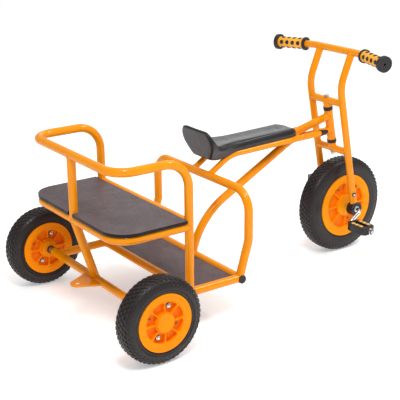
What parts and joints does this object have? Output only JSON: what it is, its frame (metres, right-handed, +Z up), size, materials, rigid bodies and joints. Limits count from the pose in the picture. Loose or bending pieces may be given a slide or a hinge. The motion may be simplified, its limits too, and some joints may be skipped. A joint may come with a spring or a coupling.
{
  "type": "toddler tricycle",
  "caption": "Toddler tricycle with a pedalled front wheel, long saddle, rear passenger bench with hand rail, foot board and a tow hitch plate.",
  "frame": {"origin": "on the ground, midway between the rearmost and foremost points of the tyres", "axes": "+X forward, +Y to the rider's left, +Z up"},
  "size_m": [1.22, 0.731, 0.7035],
  "materials": {
    "frame_paint": "glossy powder coat",
    "fork_paint": "glossy powder coat",
    "black_plastic": "satin moulded plastic",
    "black_rubber": "matt rubber",
    "yellow_rubber": "satin soft plastic",
    "deck_board": "film-faced plywood with a fine anti-slip pattern",
    "steel": "zinc plated",
    "chrome_steel": "chrome plated",
    "tyre": "matt tyre rubber",
    "rim_plastic": "satin moulded plastic"
  },
  "bodies": {
    "frame": {"axle_tube": "frame_paint", "front_cross_tube": "frame_paint", "side_rail_left": "frame_paint", "side_rail_right": "frame_paint", "rear_cross_tube": "frame_paint", "arch": "frame_paint", "hand_rail": "frame_paint", "seat_frame": "frame_paint", "bench_front_tube": "frame_paint", "rear_post": "frame_paint", "rear_strut": "frame_paint", "hitch_plate": "frame_paint", "main_tube": "frame_paint", "top_tube": "frame_paint", "head_tube": "frame_paint", "saddle_rail_left": "frame_paint", "saddle_rail_right": "frame_paint", "rail_bridge_left": "frame_paint", "rail_bridge_right": "frame_paint", "end_plug_left": "black_plastic", "end_plug_right": "black_plastic", "bush_low": "black_plastic", "bush_high": "black_plastic", "saddle": "black_plastic", "buffer_left": "black_rubber", "buffer_right": "black_rubber", "foot_board": "deck_board", "bench_board": "deck_board", "stub_axle_left": "steel", "stub_axle_right": "steel"},
    "fork": {"fork_leg_left": "fork_paint", "fork_leg_right": "fork_paint", "handlebar": "fork_paint", "cross_tube_low": "fork_paint", "cross_tube_high": "fork_paint", "housing_left": "black_plastic", "housing_right": "black_plastic", "steering_bolt": "steel", "grip_core_left": "black_rubber", "grip_core_right": "black_rubber", "grip_sleeve_left": "yellow_rubber", "grip_sleeve_right": "yellow_rubber"},
    "front_wheel": {"front_tyre": "tyre", "front_rim": "rim_plastic", "crank_axle": "chrome_steel"},
    "pedal_left": {"pedal_left": "black_plastic"},
    "pedal_right": {"pedal_right": "black_plastic"},
    "rear_wheel_left": {"rear_tyre_left": "tyre", "rear_rim_left": "rim_plastic", "hub_cap_left": "rim_plastic"},
    "rear_wheel_right": {"rear_tyre_right": "tyre", "rear_rim_right": "rim_plastic", "hub_cap_right": "rim_plastic"}
  },
  "joints": [
    {"name": "steering", "type": "hinge", "parent": "frame", "child": "fork", "pos_m": [0.45, 0, 0.16], "axis": [-0.1891, 0, 0.982], "range_deg": [-35, 35]},
    {"name": "front_wheel_spin", "type": "hinge", "parent": "fork", "child": "front_wheel", "pos_m": [0.45, 0, 0.16], "axis": [0, 1, 0], "continuous": true},
    {"name": "pedal_left_spin", "type": "hinge", "parent": "front_wheel", "child": "pedal_left", "pos_m": [0.508, 0.166, 0.18705], "axis": [0, 1, 0], "continuous": true},
    {"name": "pedal_right_spin", "type": "hinge", "parent": "front_wheel", "child": "pedal_right", "pos_m": [0.392, -0.166, 0.13295], "axis": [0, 1, 0], "continuous": true},
    {"name": "rear_wheel_left_spin", "type": "hinge", "parent": "frame", "child": "rear_wheel_left", "pos_m": [-0.488, 0.329, 0.122], "axis": [0, 1, 0], "continuous": true},
    {"name": "rear_wheel_right_spin", "type": "hinge", "parent": "frame", "child": "rear_wheel_right", "pos_m": [-0.488, -0.329, 0.122], "axis": [0, 1, 0], "continuous": true}
  ]
}
